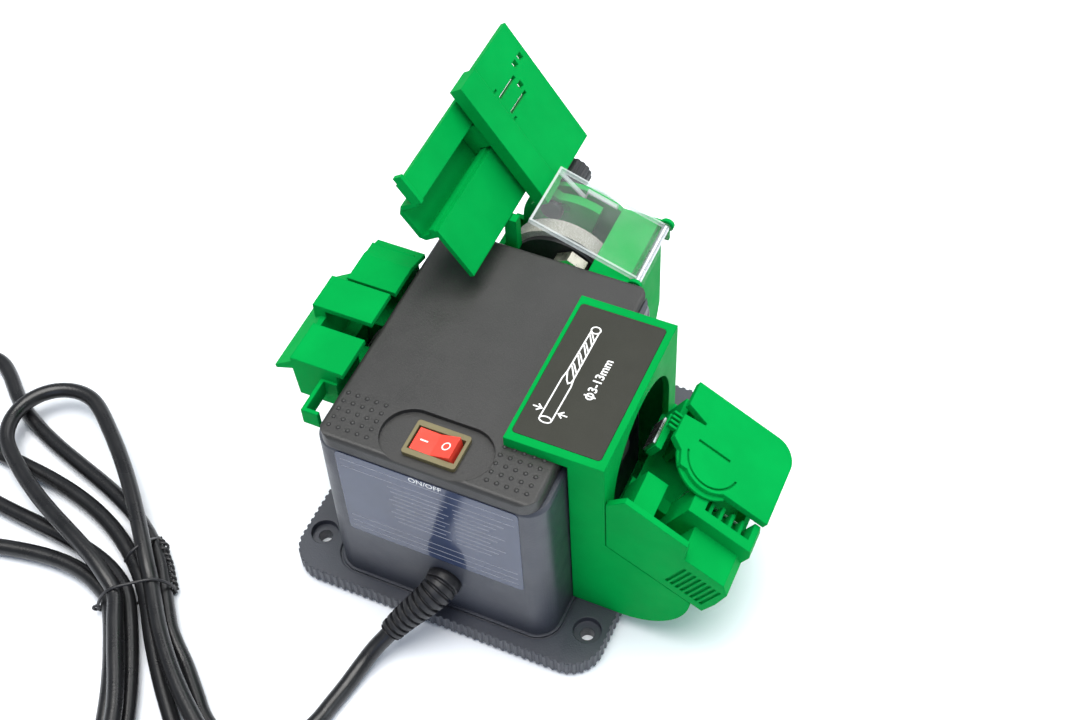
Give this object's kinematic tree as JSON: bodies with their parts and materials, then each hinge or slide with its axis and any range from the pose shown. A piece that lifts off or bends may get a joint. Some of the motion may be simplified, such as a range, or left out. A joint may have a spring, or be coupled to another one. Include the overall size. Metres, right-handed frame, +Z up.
{
  "type": "multi-purpose sharpener",
  "caption": "Electric bench sharpener with a knife guide, a sloped drill-bit holder and a chisel carriage round a black motor housing.",
  "frame": {"origin": "centre of the base's four mounting holes, on the surface that the rubber feet stand on", "axes": "+X to the right as seen from the switch side, +Y to the back, +Z up"},
  "size_m": [0.3755, 0.3929, 0.1535],
  "materials": {
    "black": "fine grain, satin",
    "green": "smooth, half gloss",
    "rubber": "matt",
    "cord": "half matt sheath",
    "steel": "ground",
    "zinc": "zinc plated",
    "iron": "laminated iron",
    "cast": "cast",
    "brass": "bright",
    "switch": "satin",
    "rocker": "glossy red",
    "abrasive": "white alumina grit",
    "clear": "clear moulded plastic"
  },
  "bodies": {
    "base": {"base_plate": "black", "rubber_feet": "rubber", "housing_screws": "steel", "housing": "black", "top_cover": "black", "switch_frame": "switch", "switch_terminals": "brass", "strain_relief": "rubber", "relief_bush": "rubber", "cord_clamp": "black", "power_cord": "cord", "cord_hank": "cord", "wire_tie": "cord", "plug_body": "rubber", "plug_pins": "brass", "motor_can": "zinc", "motor_end_caps": "cast", "stator_core": "iron", "motor_cradles": "black", "motor_bearings": "steel", "brush_holders": "brass", "drive_belt": "rubber", "front_bearing_plate": "cast", "rear_bearing_plate": "cast", "spindle_bearings": "steel", "knife_guide": "green", "drill_port": "green", "drill_panel": "black", "rear_housing": "green", "rear_nut": "zinc", "guard_pin": "steel"},
    "rocker": {"switch_rocker": "rocker"},
    "motor_rotor": {"motor_shaft": "steel", "rotor_core": "iron", "commutator": "brass", "cooling_fan": "black", "motor_pulley": "cast"},
    "chisel_arbor": {"chisel_spindle": "steel", "chisel_pulley": "cast", "chisel_wheel": "abrasive", "chisel_flange": "iron", "chisel_nut": "zinc"},
    "knife_arbor": {"knife_spindle": "steel", "knife_pulley": "cast", "knife_wheel": "abrasive", "knife_nut": "zinc"},
    "drill_arbor": {"drill_spindle": "steel", "drill_pulley": "cast", "drill_wheel": "abrasive", "drill_nut": "zinc"},
    "guard": {"spark_guard": "clear"},
    "rail": {"chisel_rail": "green"},
    "carriage": {"chisel_carriage": "green"},
    "knob": {"lock_knob": "black"},
    "drill_holder": {"drill_tray": "green", "drill_vee": "steel", "drill_stop": "steel"},
    "drill_grip": {"drill_clamp": "green"}
  },
  "joints": [
    {"name": "rocker_tip", "type": "hinge", "parent": "base", "child": "rocker", "pos_m": [0, -0.0495, 0.0938], "axis": [0, 1, 0], "range_deg": [0, 16]},
    {"name": "motor_spin", "type": "hinge", "parent": "base", "child": "motor_rotor", "pos_m": [0, -0.013, 0.034], "axis": [0, 1, 0], "continuous": true},
    {"name": "chisel_spin", "type": "hinge", "parent": "base", "child": "chisel_arbor", "pos_m": [0, 0.0605, 0.075], "axis": [0, 1, 0], "continuous": true},
    {"name": "knife_spin", "type": "hinge", "parent": "base", "child": "knife_arbor", "pos_m": [-0.032, -0.0045, 0.068], "axis": [0, 1, 0], "continuous": true},
    {"name": "drill_spin", "type": "hinge", "parent": "base", "child": "drill_arbor", "pos_m": [0.032, -0.008, 0.068], "axis": [0, 1, 0], "continuous": true},
    {"name": "guard_swing", "type": "hinge", "parent": "base", "child": "guard", "pos_m": [0.0356, 0.064, 0.0933], "axis": [0, 1, 0], "range_deg": [0, 100]},
    {"name": "rail_tilt", "type": "hinge", "parent": "base", "child": "rail", "pos_m": [0, 0.074, 0.075], "axis": [0, 1, 0], "range_deg": [-12, 0]},
    {"name": "carriage_slide", "type": "slide", "parent": "rail", "child": "carriage", "axis": [0, 1, 0], "range_m": [-0.04, 0.002]},
    {"name": "knob_turn", "type": "hinge", "parent": "base", "child": "knob", "pos_m": [-0.00887, 0.087, 0.09403], "axis": [0, 1, 0], "range_deg": [-180, 180]},
    {"name": "holder_slide", "type": "slide", "parent": "base", "child": "drill_holder", "axis": [0.866, 0, -0.5], "range_m": [0, 0.04]},
    {"name": "grip_slide", "type": "slide", "parent": "drill_holder", "child": "drill_grip", "axis": [0, -1, 0], "range_m": [0, 0.012]}
  ],
  "couplings": [
    {"joint": "chisel_spin", "follows": "motor_spin", "ratio": 0.76191},
    {"joint": "knife_spin", "follows": "motor_spin", "ratio": 1},
    {"joint": "drill_spin", "follows": "motor_spin", "ratio": 1}
  ]
}
